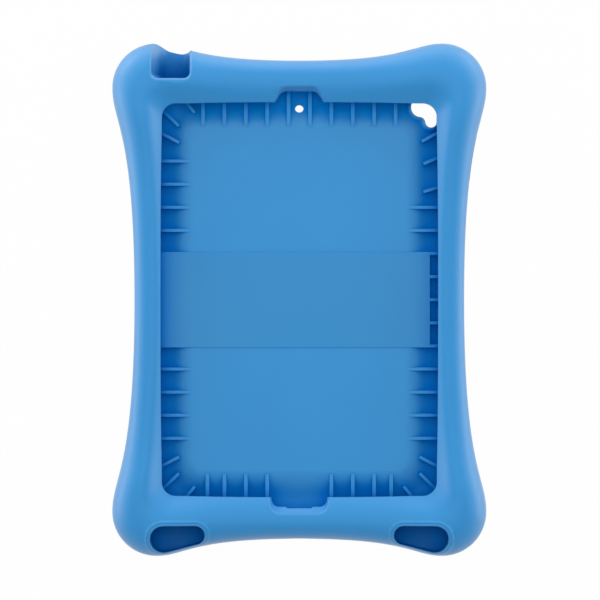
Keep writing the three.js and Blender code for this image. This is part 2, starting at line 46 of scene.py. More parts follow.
# Everything down to the silicone is in millimetres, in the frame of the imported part. Sizes in
# pairs are across the case and along it.
TABLET = (174.1 / 2, 250.6 / 2)
TABLET_CORNER = 11
STAND_OFF = 2.5
LIP_REACH = (4.1, 7.3)
WALL = (9.15, 15.3)
CORNER_SWELL = (13.3, 10.3)
POCKET = (TABLET[0] + STAND_OFF, TABLET[1] + STAND_OFF)
POCKET_CORNER = TABLET_CORNER + STAND_OFF
WINDOW = (TABLET[0] - LIP_REACH[0], TABLET[1] - LIP_REACH[1])
WINDOW_CORNER = 8.4
WINDOW_BOW = 0.8
WAIST = (POCKET[0] + WALL[0], POCKET[1] + WALL[1])
CORNER = (WAIST[0] + CORNER_SWELL[0], WAIST[1] + CORNER_SWELL[1])
CORNER_RADIUS = 26.4

# The handles of each edge's curve: the one at its waist, and the one at its corner.
SIDE_CURVE = (101.9, 21.4)
END_CURVE = (66.1, 17.5)

PANEL_LIFT = 5.8
FLOOR_Z = 8.0
GUTTER_Z = 3.2
TABLET_Z = 8.3
TABLET_MIDDLE_Z = 12.05
LIP_UNDER_Z = 16.0
LIP_EDGE_Z = 19.0
SIDE_CREST = 20.4
END_CREST = 22.5
CORNER_CREST = 25.5
ABOVE_ALL = CORNER_CREST + 6
OUTSIDE_Z = 14
PAST_WALL = 30
GUTTER_FLAT = 7
GUTTER_SLOPE = 18
FLOOR_CORNER = 8
FOOT_REACH = 12.5
RECESS_RAMP = 9
WAIST_LIFT = 1.2

# The wall's section at a waist and at a corner: where it is widest, and how far in its crest
# and its foot lie.
GIRTH_Z = (13.2, 12.8)
CREST_IN = (11, 20)
FOOT_IN = (9, 14)

SIDE_STEPS = 26
CORNER_STEPS = 16
END_STEPS = 22


def mix(a, b, share):
    return a + (b - a) * share


# Curves and outlines


def bezier(a, b, c, d, steps):
    a, b, c, d = (Vector(p) for p in (a, b, c, d))
    points = []
    for i in range(steps + 1):
        t = i / steps
        s = 1 - t
        points.append(a * s**3 + b * (3 * s * s * t) + c * (3 * s * t * t) + d * t**3)
    return points


def arc(centre, radius, start, stop, steps):
    """Points on an arc, with its angles in degrees. The radius may differ along the two axes."""
    across, along = radius if isinstance(radius, tuple) else (radius, radius)
    points = []
    for i in range(steps + 1):
        turn = math.radians(mix(start, stop, i / steps))
        points.append(Vector((centre[0] + across * math.cos(turn), centre[1] + along * math.sin(turn))))
    return points


def full_circle(centre, radius):
    return arc(centre, radius, 0, 360, 40)[:-1]


def four_quarters(quarter):
    """A closed outline from one quarter, which runs from +X round to +Y and is mirrored twice."""
    there = quarter[:-1]
    back = quarter[:0:-1]
    flipped = [(there, 1, 1), (back, -1, 1), (there, -1, -1), (back, 1, -1)]
    return [Vector((p.x * sx, p.y * sy)) for part, sx, sy in flipped for p in part]


def curved_outline(middle, edge, radius, side_curve, end_curve):
    """An outline that is `middle` wide and long at its waists, and `edge` at its round corners."""
    arc_x, arc_y = edge[0] - radius, edge[1] - radius
    side = bezier((middle[0], 0), (middle[0], side_curve[0]), (edge[0], arc_y - side_curve[1]),
                  (edge[0], arc_y), SIDE_STEPS)
    corner = arc((arc_x, arc_y), radius, 0, 90, CORNER_STEPS)
    end = bezier((arc_x, edge[1]), (arc_x - end_curve[1], edge[1]), (end_curve[0], middle[1]),
                 (0, middle[1]), END_STEPS)
    return four_quarters(side[:-1] + corner + end[1:])


def bumper_outline(inset=0):
    return curved_outline((WAIST[0] - inset, WAIST[1] - inset), (CORNER[0] - inset, CORNER[1] - inset),
                          CORNER_RADIUS - inset, SIDE_CURVE, END_CURVE)


def straight_outline(half, radius, bow=0):
    """A rounded rectangle whose points keep in step with the bumper's outline."""
    edge = (half[0] - bow, half[1] - bow)
    side_share = (edge[1] - radius) / (CORNER[1] - CORNER_RADIUS)
    end_share = (edge[0] - radius) / (CORNER[0] - CORNER_RADIUS)
    side_curve = [v * side_share for v in SIDE_CURVE]
    end_curve = [v * end_share for v in END_CURVE]
    return curved_outline(half, edge, radius, side_curve, end_curve)


def pocket_outline(inset=0):
    return straight_outline((POCKET[0] - inset, POCKET[1] - inset), POCKET_CORNER - inset)


def floor_outline(inset):
    corner = FLOOR_CORNER + GUTTER_FLAT + GUTTER_SLOPE - inset
    return straight_outline((POCKET[0] - inset, POCKET[1] - inset), corner)


def at_height(outline, z):
    return [Vector((p.x, p.y, z)) for p in outline]


# Work at the bench: each call does what a hand would do with the same tool


def only(piece):
    bpy.ops.object.select_all(action="DESELECT")
    piece.select_set(True)
    bpy.context.view_layer.objects.active = piece
    return piece


def place_ring(piece, ring, before=None):
    """Moves the selected vertices onto a ring of points, in the order of the ring before it."""
    mesh = bmesh.from_edit_mesh(piece.data)
    chosen = [v for v in mesh.verts if v.select]
    if before:
        spot = {tuple(round(c, 7) for c in p): i for i, p in enumerate(before)}
        order = [spot[tuple(round(c, 7) for c in v.co)] for v in chosen]
    else:
        order = range(len(chosen))
    for v, i in zip(chosen, order):
        v.co = ring[i]
    bmesh.update_edit_mesh(piece.data)
    return [v.co.copy() for _, v in sorted(zip(order, chosen), key=lambda pair: pair[0])]


def draw_skin(name, rings):
    """A closed skin: a circle is shaped to the first ring, then its edge is drawn out ring by ring."""
    count = len(rings[0])
    bpy.ops.object.select_all(action="DESELECT")
    bpy.ops.mesh.primitive_circle_add(vertices=count, fill_type="NOTHING")
    piece = bpy.context.object
    piece.name = name
    bpy.ops.object.mode_set(mode="EDIT")
    bpy.ops.mesh.select_all(action="SELECT")
    placed = place_ring(piece, [p * MM for p in rings[0]])
    for ring in rings[1:]:
        bpy.ops.mesh.extrude_edges_move()
        placed = place_ring(piece, [p * MM for p in ring], placed)
    bpy.ops.mesh.edge_face_add()
    bpy.ops.mesh.select_all(action="DESELECT")
    mesh = bmesh.from_edit_mesh(piece.data)
    mesh.verts.ensure_lookup_table()
    for v in mesh.verts[:count]:
        v.select = True
    mesh.select_flush(True)
    bpy.ops.mesh.edge_face_add()
    bpy.ops.mesh.select_all(action="SELECT")
    bpy.ops.mesh.normals_make_consistent(inside=False)
    bpy.ops.object.mode_set(mode="OBJECT")
    return piece


def prism(name, outline, low, high):
    return draw_skin(name, [at_height(outline, low), at_height(outline, high)])


def combine(piece, tool, operation):
    only(piece)
    bpy.ops.object.modifier_add(type="BOOLEAN")
    modifier = piece.modifiers[-1]
    modifier.operation = operation
    modifier.solver = "MANIFOLD"
    modifier.object = tool
    bpy.ops.object.modifier_apply(modifier=modifier.name)
    bpy.data.objects.remove(tool)


def cut(piece, tool):
    combine(piece, tool, "DIFFERENCE")


def add(piece, tool):
    combine(piece, tool, "UNION")


def set_in_place(piece, matrix):
    """Turns and moves a piece's mesh, and leaves its object at the origin."""
    only(piece)
    piece.matrix_world = matrix
    bpy.ops.object.transform_apply(location=True, rotation=True, scale=True)
    return piece


def placed_by(right, up, at):
    """The matrix that takes a shape drawn in its own plane to `right` and `up`, with its origin at `at`."""
    out = right.cross(up)
    axes = Matrix((right, up, out)).transposed().to_4x4()
    return Matrix.Translation(Vector(at) * MM) @ axes


# Bumper


def swelling(p, inset):
    """How far a point has left its waist for the corner, from 0 to 1, and the crest of that waist."""
    if abs(p.y) < CORNER[1] - CORNER_RADIUS:
        return (abs(p.x) + inset - WAIST[0]) / (CORNER[0] - WAIST[0]), SIDE_CREST
    if abs(p.x) < CORNER[0] - CORNER_RADIUS:
        return (abs(p.y) + inset - WAIST[1]) / (CORNER[1] - WAIST[1]), END_CREST
    return 1, CORNER_CREST


def outer_section(width, inset, share, crest):
    """From the foot, round the outside and over the crest, to the lip. x is in from the silhouette."""
    crest_z = mix(crest, CORNER_CREST, share) - inset
    girth_z = mix(*GIRTH_Z, share)
    foot_z = mix(WAIST_LIFT, 0, share) + inset
    top = mix(*CREST_IN, share) - inset
    under = mix(*FOOT_IN, share) - inset
    edge_z = LIP_EDGE_Z - inset
    slope = width - top
    landing = slope * 0.35
    below = arc((under, girth_z), (under, girth_z - foot_z), 270, 180, 8)
    above = arc((top, girth_z), (top, crest_z - girth_z), 180, 90, 12)
    inward = bezier((top, crest_z), (top + slope * 0.45, crest_z),
                    (width - landing, edge_z + landing * 0.5), (width, edge_z), 12)
    return below[:-1] + above[:-1] + inward


def outer_rings(inset=0):
    outline = bumper_outline(inset)
    window = straight_outline(WINDOW, WINDOW_CORNER, WINDOW_BOW)
    sections = []
    for p, w in zip(outline, window):
        width = (w - p).length
        inward = (w - p) / width
        share, crest = swelling(p, inset)
        section = outer_section(width, inset, share, crest)
        sections.append([Vector((*(p + inward * s.x), s.y)) for s in section])
    return [list(ring) for ring in zip(*sections)]


def under_rings(inset=0):
    """From the panel's underside down the recess to the foot."""
    deep = FOOT_REACH + RECESS_RAMP
    mouth = floor_outline(FOOT_REACH)
    roof = floor_outline(deep)
    feet = [mix(WAIST_LIFT, 0, swelling(p, inset)[0]) + inset for p in bumper_outline(inset)]
    rings = [at_height(floor_outline(deep + past), PANEL_LIFT) for past in (1, 0.4)]
    for climb, outward in ((0.93, 0), (0.5, 0), (0.07, 0), (0, 0.3), (0, 0.8)):
        ring = []
        for m, r, foot in zip(mouth, roof, feet):
            z = mix(foot, PANEL_LIFT, climb)
            p = m.lerp(r, z / PANEL_LIFT - outward / RECESS_RAMP)
            ring.append(Vector((p.x, p.y, z)))
        rings.append(ring)
    return rings


def inner_rings():
    """From the lip's edge down the pocket's wall, across the gutter and up onto the floor."""
    soften = 0.3
    bend = 2
    window = straight_outline(WINDOW, WINDOW_CORNER, WINDOW_BOW)
    under = straight_outline((WINDOW[0] + soften, WINDOW[1] + soften), WINDOW_CORNER + soften, WINDOW_BOW)
    rings = [
        at_height(window, LIP_EDGE_Z - soften),
        at_height(window, LIP_UNDER_Z + soften),
        at_height(under, LIP_UNDER_Z),
        at_height(pocket_outline(1), LIP_UNDER_Z),
        at_height(pocket_outline(soften), LIP_UNDER_Z - soften),
        at_height(pocket_outline(), LIP_UNDER_Z - 1),
    ]
    for turn in (0, 22.5, 45, 67.5, 90):
        lean = math.radians(turn)
        z = GUTTER_Z + bend * (1 - math.sin(lean))
        rings.append(at_height(pocket_outline(bend * (1 - math.cos(lean))), z))
    for step in range(13):
        t = step / 12
        rise = (FLOOR_Z - GUTTER_Z) * t * t * (3 - 2 * t)
        rings.append(at_height(floor_outline(GUTTER_FLAT + GUTTER_SLOPE * t), GUTTER_Z + rise))
    rings.append(at_height(floor_outline(GUTTER_FLAT + GUTTER_SLOPE + 0.5), FLOOR_Z))
    return rings


# Ribs and band

RIB_WIDTH = 1.8
SIDE_RIB_LENGTH = 25
SIDE_RIB_TIP = 0.08
SIDE_PITCH = 13.88
END_RIB_WIDTH = 2.2
END_RIB_LENGTH = 23.3
END_PITCH = 12.85
LAST_NEAR_RIB_X = 55.2
BAND_HALF = 2 * SIDE_PITCH + RIB_WIDTH / 2
BAND_LENGTH = 2 * POCKET[0] - 11.15
BAND_SOFTEN = 0.25

# Each fan rib: in from the side wall and from the end wall, its turn and its length.
CORNER_FAN = [(0, 24.5, 27, 19.5), (1.2, 8, 44, 22.2), (13.9, 0.2, 50, 20)]

# Each rib behind the volume keys: in from the end wall, its turn and its length.
VOLUME_RIBS = [(23.9, 29, 18.2), (39.8, 23, 16.3), (58.4, 17, 15.7)]


def rib_profile(length, tip):
    """A rib from its side, with x out from the wall: along the floor, and up the wall to the lip."""
    bend = arc((STAND_OFF + 1, FLOOR_Z + 1.3), 1, 270, 180, 3)
    root_z, head_z = GUTTER_Z - 0.5, LIP_UNDER_Z + 0.5
    return [Vector(p) for p in (
        (-1, root_z), (length, root_z), (length, FLOOR_Z + tip), *bend, (STAND_OFF, head_z), (-1, head_z),
    )]


def make_rib(name, length, thickness, tip=0.3, soften=0.4):
    """A rib in profile, drawn out to its thickness. Its seen edges are rounded off."""
    profile = rib_profile(length, tip)
    half = thickness / 2
    rings = [[Vector((p.x, side, p.y)) for p in profile] for side in (-half, half)]
    rib = draw_skin(name, rings)
    bpy.ops.object.mode_set(mode="EDIT")
    bpy.ops.mesh.select_all(action="DESELECT")
    mesh = bmesh.from_edit_mesh(rib.data)
    for e in mesh.edges:
        a, b = (v.co / MM for v in e.verts)
        along = abs(a.y - b.y) < 0.01
        seen = min(a.x, b.x) > 0 and min(a.z, b.z) > FLOOR_Z
        e.select = along and seen
    bmesh.update_edit_mesh(rib.data)
    bpy.ops.mesh.bevel(offset=soften * MM, segments=3, affect="EDGES")
    bpy.ops.object.mode_set(mode="OBJECT")
    return rib


def stand_rib(case, pattern, x, y, heading):
    """Adds a copy of the pattern rib at a wall point, turned to its heading in degrees."""
    rib = pattern.copy()
    rib.data = pattern.data.copy()
    bpy.context.scene.collection.objects.link(rib)
    turn = Matrix.Rotation(math.radians(heading), 4, "Z")
    set_in_place(rib, Matrix.Translation(Vector((x, y, 0)) * MM) @ turn)
    add(case, rib)


def add_straight_ribs(case):
    side_rib = make_rib("side_rib", SIDE_RIB_LENGTH, RIB_WIDTH, SIDE_RIB_TIP)
    end_rib = make_rib("end_rib", END_RIB_LENGTH, END_RIB_WIDTH)
    for k in range(-6, 7):
        if abs(k) > 1:
            stand_rib(case, side_rib, -POCKET[0], k * SIDE_PITCH, 0)
        if k < 5:
            stand_rib(case, side_rib, POCKET[0], k * SIDE_PITCH, 180)
    for side in (-1, 1):
        for k in range(5):
            x = side * (k + 0.5) * END_PITCH
            stand_rib(case, end_rib, x, POCKET[1], 270)
            if k:
                stand_rib(case, end_rib, side * LAST_NEAR_RIB_X if k == 4 else x, -POCKET[1], 90)
    bpy.data.objects.remove(side_rib)
    bpy.data.objects.remove(end_rib)


def add_leaning_ribs(case):
    for from_side, from_end, turn, length in CORNER_FAN:
        fan_rib = make_rib("fan_rib", length, RIB_WIDTH)
        for sx, sy in ((-1, 1), (-1, -1), (1, -1)):
            lean = math.radians(turn)
            heading = math.degrees(math.atan2(-sy * math.sin(lean), -sx * math.cos(lean)))
            stand_rib(case, fan_rib, sx * (POCKET[0] - from_side), sy * (POCKET[1] - from_end), heading)
        bpy.data.objects.remove(fan_rib)
    for from_end, turn, length in VOLUME_RIBS:
        key_rib = make_rib("key_rib", length, RIB_WIDTH)
        stand_rib(case, key_rib, POCKET[0], POCKET[1] - from_end, 180 + turn)
        bpy.data.objects.remove(key_rib)


def add_band(case):
    band = make_rib("band", BAND_LENGTH, 2 * BAND_HALF, soften=BAND_SOFTEN)
    set_in_place(band, Matrix.Translation(Vector((-POCKET[0], 0, 0)) * MM))
    add(case, band)


# Notches in the lip

NOTCH_ROLL = 0.9
NOTCH_SIDE_LEAN = 0.6
CAMERA_NOTCH = {"mouth": 30.4, "far": 20.6, "depth": 6.5, "corner": 2.8, "bevel": 2.6}
HOME_NOTCH = {"mouth": 33.8, "far": 31.8, "depth": 5.8, "corner": 4.2, "bevel": 4.2}


def surface_under(case):
    """A function that gives the height of the case's top under a point, or OUTSIDE_Z beside it."""
    view = bpy.context.evaluated_depsgraph_get()
    seen = case.evaluated_get(view)
    start_z = 100

    def height(x, y):
        hit, place, _, _ = seen.ray_cast(Vector((x * MM, y * MM, start_z * MM)), -UP)
        return place.z / MM if hit else OUTSIDE_Z

    return height


def rolled_rim(rings, plan, surface, radius, lowest):
    """Ends a cutter's rings in a roll that follows the surface round the opening, then clears it."""

    def top(p):
        return max(surface(p.x, p.y), lowest)

    for turn in (10, 30, 50, 70):
        lean = math.radians(turn)
        outline = plan(radius * (1 - math.cos(lean)))
        rings.append([Vector((p.x, p.y, top(p) - radius * (1 - math.sin(lean)))) for p in outline])
    rings.append([Vector((p.x, p.y, top(p) + 0.15)) for p in plan(radius * 1.5)])
    rings.append(at_height(rings[-1], ABOVE_ALL))


def lip_notch(surface, facing, mouth, far, depth, corner, bevel):
    """A notch in the lip whose walls lean back on the way up, and roll over at the top."""

    def outline(lean, spread=0):
        grow = NOTCH_SIDE_LEAN * lean + spread
        far_y = WINDOW[1] + depth + bevel * lean + spread
        start = Vector((mouth / 2 + grow, WINDOW[1] - 1))
        turn = Vector((far / 2 + grow, far_y))
        reach = corner + bevel * lean * 0.6 + spread
        before = turn + (start - turn).normalized() * reach
        bend = bezier(before, before.lerp(turn, 2 / 3),
                      (turn.x - reach / 3, far_y), (turn.x - reach, far_y), 10)
        right = [start] + bend
        left = [Vector((-p.x, p.y)) for p in reversed(right)]
        return [Vector((p.x, p.y * facing)) for p in right + left]

    steep_z = LIP_UNDER_Z + 1
    steep_share = 0.15
    lean_height = 6.5
    rim_lean = 0.85
    foot_heights = (LIP_UNDER_Z - 1, LIP_UNDER_Z, steep_z)
    rings = [at_height(outline((z - LIP_UNDER_Z) / lean_height), z) for z in foot_heights]
    for share in (0.5, 0.8):
        climb = (share - steep_share) / (1 - steep_share)
        ring = []
        for p in outline(share * rim_lean):
            top = max(surface(p.x, p.y), LIP_EDGE_Z) - NOTCH_ROLL
            ring.append(Vector((p.x, p.y, mix(steep_z, top, climb))))
        rings.append(ring)
    rolled_rim(rings, lambda spread: outline(rim_lean, spread), surface, NOTCH_ROLL, LIP_EDGE_Z)
    return draw_skin("lip_notch", rings)


# Rear camera and microphone

LENS = Vector((TABLET[0] - 14.05, TABLET[1] - 9.7))
LENS_RADIUS = 5.8
FLASH = LENS + Vector((6.2, -8.6))
FLASH_RADIUS = 3.5
HOLLOW_RADIUS = 3.6
MICROPHONE = (0, TABLET[1] - 10.3)
MICROPHONE_RADIUS = 2.5
MICROPHONE_SQUASH = 0.92

# Each step: a height, and how far the outline has grown there.
COLLAR_STEPS = ((GUTTER_Z - 1, 4), (GUTTER_Z, 3.8), (3.8, 3.3), (4.7, 2.8), (5.7, 2.3), (6.6, 1.8),
                (7.3, 1.3), (7.75, 0.8), (7.85, 0.4))
LENS_STEPS = ((-1, 2), (0, 2), (3, 0), (FLOOR_Z - 0.4, 0), (FLOOR_Z - 0.1, 0.12), (FLOOR_Z + 0.3, 0.6))
MICROPHONE_STEPS = ((-1, 0), (FLOOR_Z - 0.3, 0), (FLOOR_Z, 0.12), (FLOOR_Z + 0.3, 0.4))


def turn_from(a, b):
    return math.degrees(math.atan2(b.y - a.y, b.x - a.x))


def lens_outline(grow):
    """The rear camera's opening: a wide lobe for the lens, a small one for the flash, and a hollow
    that touches both."""
    to_lens = LENS_RADIUS + HOLLOW_RADIUS
    to_flash = FLASH_RADIUS + HOLLOW_RADIUS
    apart = FLASH - LENS
    along = (to_lens**2 - to_flash**2 + apart.length_squared) / (2 * apart.length)
    aside = math.sqrt(to_lens**2 - along**2)
    towards = apart.normalized()
    hollow = LENS + towards * along + Vector((towards.y, -towards.x)) * aside
    lens_turn = turn_from(LENS, hollow)
    flash_turn = turn_from(FLASH, hollow) % 360
    shoulder = Vector((FLASH.x + FLASH_RADIUS - LENS_RADIUS, LENS.y))
    return (
        arc(shoulder, LENS_RADIUS + grow, 0, 90, 12)
        + arc(LENS, LENS_RADIUS + grow, 90, lens_turn + 360, 20)
        + arc(hollow, HOLLOW_RADIUS - grow, lens_turn + 180, flash_turn - 180, 8)[1:-1]
        + arc(FLASH, FLASH_RADIUS + grow, flash_turn, 360, 16)
    )


def add_lens_collar(case):
    add(case, draw_skin("lens_collar", [at_height(lens_outline(grow), z) for z, grow in COLLAR_STEPS]))


def cut_lens(case):
    cut(case, draw_skin("lens_cut", [at_height(lens_outline(grow), z) for z, grow in LENS_STEPS]))


def cut_microphone(case):
    rings = []
    for z, grow in MICROPHONE_STEPS:
        radius = MICROPHONE_RADIUS + grow
        rings.append(at_height(full_circle(MICROPHONE, (radius, radius * MICROPHONE_SQUASH)), z))
    cut(case, draw_skin("microphone_hole", rings))


# Headphone notch

JACK_X = 12.25 - TABLET[0]
JACK_BACK = POCKET[1] + 4.4
JACK_BACK_LEAN = 0.4
JACK_FLOOR = 3.9
JACK_TOP = 25
JACK_LEFT = -13
JACK_RIGHT = 9.5
JACK_CORNER = (1, 3.5)
JACK_ROLL = 2.1
JACK_STEPS = 10
JACK_HOLE_RADIUS = 3.5
JACK_HOLE_LENGTH = STAND_OFF + 5.8


def cut_headphone_notch(case):
    """A lopsided trough with a rolled rim, and the plug's hole from its back wall into the pocket."""
    surface = surface_under(case)
    left_top, right_top = (JACK_LEFT, JACK_TOP), (JACK_RIGHT, JACK_TOP)
    left_side = bezier((-1.5, JACK_FLOOR), (-7.4, JACK_FLOOR), (-8.6, 11.5), left_top, JACK_STEPS)
    right_side = bezier((1.5, JACK_FLOOR), (8, JACK_FLOOR), (9.3, 7), right_top, JACK_STEPS)
    lowest = JACK_FLOOR + 0.5

    def plan(left_x, right_x, back, corner):
        """Anticlockwise from the outer left, round the back, to the outer right."""
        far = JACK_BACK + PAST_WALL
        near = back + corner
        steps = 14
        bend_left = arc((left_x + corner, near), corner, 180, 270, 8)
        bend_right = arc((right_x - corner, near), corner, 270, 360, 8)
        inward = [(left_x, far - k * (far - near) / steps) for k in range(steps)]
        outward = [(right_x, near + k * (far - near) / steps) for k in range(1, steps + 1)]
        points = [Vector(p) for p in inward] + bend_left + bend_right + [Vector(p) for p in outward]
        return [Vector((p.x + JACK_X, p.y)) for p in points]

    def rim(spread):
        back = JACK_BACK - JACK_BACK_LEAN - spread
        return plan(JACK_LEFT - spread, JACK_RIGHT + spread, back, JACK_CORNER[1] + spread)

    rings = []
    for step, (left, right) in enumerate(zip(left_side, right_side)):
        share = step / JACK_STEPS
        climb = (left.y - JACK_FLOOR) / (JACK_TOP - JACK_FLOOR)
        ring = []
        for p in plan(left.x, right.x, JACK_BACK - JACK_BACK_LEAN * share, mix(*JACK_CORNER, share)):
            top = max(surface(p.x, p.y) - JACK_ROLL, lowest)
            ring.append(Vector((p.x, p.y, mix(JACK_FLOOR, top, climb))))
        rings.append(ring)
    rolled_rim(rings, rim, surface, JACK_ROLL, lowest)
    cut(case, draw_skin("headphone_notch", rings))
    hole = prism("headphone_hole", full_circle((0, 0), JACK_HOLE_RADIUS), 0, JACK_HOLE_LENGTH)
    set_in_place(hole, placed_by(RIGHT, UP, (JACK_X, TABLET[1] + JACK_HOLE_LENGTH, TABLET_MIDDLE_Z)))
    cut(case, hole)


# Sound scoops

SCOOP_OUTER_X = 80.75
SCOOP_OUTER_RADIUS = 8.15
SCOOP_INNER_X = 62.15
SCOOP_INNER_RADIUS = 5.75
SCOOP_EDGE = -(POCKET[1] + 6.8)
SCOOP_SLOT = Vector((18, 11.7, 5))
SCOOP_SLOT_Y = -POCKET[1] - 3.85
BEAD_WIDTH = 3.4
BEAD_LEAST_SHARE = 0.3
CLEAR_OF_SIDE_Z = 17

# How far out from the well, and how far above the case's top: the bead, then the groove inside it.
BEAD_LEVELS = (
    (BEAD_WIDTH, -2), (BEAD_WIDTH, -0.1), (3.1, 0.08), (2.8, 0.24), (2.4, 0.36), (2.1, 0.35), (1.75, 0.24),
    (1.5, 0.15), (1.3, 0.11), (1.1, 0.12), (0.9, 0.15), (0.65, 0.17), (0.4, 0.14), (-1, 0.08),
)
WELL_FLOOR_STEPS = ((7, -1), (7.3, -0.3), (8, 0))
WELL_ROLL_LEVELS = ((0, -5), (0, -0.9), (0.05, -0.5), (0.2, -0.15), (0.45, 0.1), (0.8, 0.25))


def side_points(a, b, steps=8):
    return [a.lerp(b, k / steps) for k in range(1, steps)]


def scoop_outline(grow, side):
    """Two circles and the lines that touch both, with `grow` added all round."""
    inner = Vector((SCOOP_INNER_X, SCOOP_EDGE - SCOOP_INNER_RADIUS))
    outer = Vector((SCOOP_OUTER_X, SCOOP_EDGE - SCOOP_OUTER_RADIUS))
    apart = outer - inner
    lean = math.degrees(math.atan2(apart.y, apart.x))
    touch = math.degrees(math.acos((SCOOP_INNER_RADIUS - SCOOP_OUTER_RADIUS) / apart.length))
    round_inner = arc(inner, SCOOP_INNER_RADIUS + grow, lean + touch, lean - touch + 360, 18)
    round_outer = arc(outer, SCOOP_OUTER_RADIUS + grow, lean - touch, lean + touch, 22)
    near_side = side_points(round_inner[-1], round_outer[0])
    far_side = side_points(round_outer[-1], round_inner[0])
    points = round_inner + near_side + round_outer + far_side
    return [Vector((p.x * side, p.y)) for p in points]


def scoop_room(side, surface):
    """How much of the bead's full width fits at each point, before the case's top turns down its side."""
    shares = []
    for near, far in zip(scoop_outline(0, side), scoop_outline(BEAD_WIDTH, side)):
        share = 1
        while share > BEAD_LEAST_SHARE:
            p = near.lerp(far, share)
            if surface(p.x, p.y) > CLEAR_OF_SIDE_Z:
                break
            share -= 0.05
        shares.append(share)
    count = len(shares)
    return [sum(shares[(i + k) % count] for k in (-2, -1, 0, 1, 2)) / 5 for i in range(count)]


def scoop_rings(side, surface, room, levels):
    """Rings that follow the case's top round a scoop, each some way out from the well and above the top."""
    rings = []
    edge = scoop_outline(0, side)
    for grow, above in levels:
        ring = []
        for near, far, share in zip(edge, scoop_outline(grow, side), room):
            p = near.lerp(far, share) if grow > 0 else far
            ring.append(Vector((p.x, p.y, surface(p.x, p.y) + above)))
        rings.append(ring)
    return rings


def add_scoop_bead(case, side, surface, room):
    """The low bead that runs round each scoop, with a fine groove between it and the well."""
    add(case, draw_skin("scoop_bead", scoop_rings(side, surface, room, BEAD_LEVELS)))


def cut_scoop(case, side, surface, room):
    """A sound scoop: a deep well, and the slot that lets the sound out."""
    rings = [at_height(scoop_outline(grow, side), z) for z, grow in WELL_FLOOR_STEPS]
    rings += scoop_rings(side, surface, room, WELL_ROLL_LEVELS)
    rings.append(at_height(rings[-1], ABOVE_ALL))
    cut(case, draw_skin("sound_scoop", rings))
    middle = side * (SCOOP_OUTER_X + SCOOP_INNER_X) / 2
    bpy.ops.object.select_all(action="DESELECT")
    bpy.ops.mesh.primitive_cube_add(
        size=1,
        location=Vector((middle, SCOOP_SLOT_Y, TABLET_MIDDLE_Z)) * MM,
        scale=SCOOP_SLOT * MM,
    )
    slot = bpy.context.object
    bpy.ops.object.transform_apply(location=True, rotation=True, scale=True)
    cut(case, slot)


# Charging port and key pads

PORT_HALF = (7, 3.75)
PORT_CORNER = 2.5
PORT_Y = -(WINDOW[1] + HOME_NOTCH["depth"])
PORT_DROP = 0.6
PAD_WIDTH = 5
PAD_GAP = 1.5
PAD_SKIN = 3
GROOVE_WIDTH = 1
GROOVE_DEPTH = 0.5

# Each pad: its length, the wall it is in, the way it runs, and its middle on the tablet's edge.
PADS = [
    (27, WALL[0], Vector((0, 1, 0)), (TABLET[0], TABLET[1] - 41, TABLET_MIDDLE_Z)),
    (13, WALL[1], Vector((-1, 0, 0)), (TABLET[0] - 24, TABLET[1], TABLET_MIDDLE_Z)),
]


def cut_port(case):
    """The charging plug's tunnel, and a relief over it in the lip."""
    arc_x, arc_y = (half - PORT_CORNER for half in PORT_HALF)
    section = []
    for sx, sy, start in ((1, 1, 0), (-1, 1, 90), (-1, -1, 180), (1, -1, 270)):
        section += arc((sx * arc_x, sy * arc_y), PORT_CORNER, start, start + 90, 6)
    tunnel = prism("port", section, 0, PAST_WALL)
    set_in_place(tunnel, placed_by(RIGHT, UP, (0, PORT_Y, TABLET_MIDDLE_Z - PORT_DROP)))
    cut(case, tunnel)
    wide, narrow = 8, 7.2
    relief = ((-wide, 0), (-narrow, -1), (narrow, -1), (wide, 0), (wide, 1), (-wide, 1))
    relief = [Vector((x, y + PORT_Y)) for x, y in relief]
    cut(case, prism("port_relief", relief, TABLET_MIDDLE_Z, LIP_UNDER_Z + 1.2))


def slot_outline(length, width):
    reach = (length - width) / 2
    return arc((reach, 0), width / 2, -90, 90, 14) + arc((-reach, 0), width / 2, 90, 270, 14)


def add_pad_posts(case):
    for length, _, right, at in PADS:
        post = prism("key_post", slot_outline(length, PAD_WIDTH), 0.3, STAND_OFF + 1)
        set_in_place(post, placed_by(right, UP, at))
        add(case, post)


def pad_ring(length, width, near, far, right, at):
    ring = prism("pad_ring", slot_outline(length + 2 * width, PAD_WIDTH + 2 * width), near, far)
    cut(ring, prism("pad_core", slot_outline(length, PAD_WIDTH), near - 1, far + 1))
    return set_in_place(ring, placed_by(right, UP, at))


def cut_pads(case):
    """Each key pad has a slot round its post inside, and a shallow groove round it outside."""
    for length, wall, right, at in PADS:
        cut(case, pad_ring(length, PAD_GAP, STAND_OFF - 1, STAND_OFF + wall - PAD_SKIN, right, at))
        groove = pad_ring(length, GROOVE_WIDTH, STAND_OFF + 1, STAND_OFF + PAST_WALL, right, at)
        cut(groove, draw_skin("groove_floor", under_rings(GROOVE_DEPTH) + outer_rings(GROOVE_DEPTH)))
        cut(case, groove)


# The case

SMOOTH_BELOW = math.radians(38)


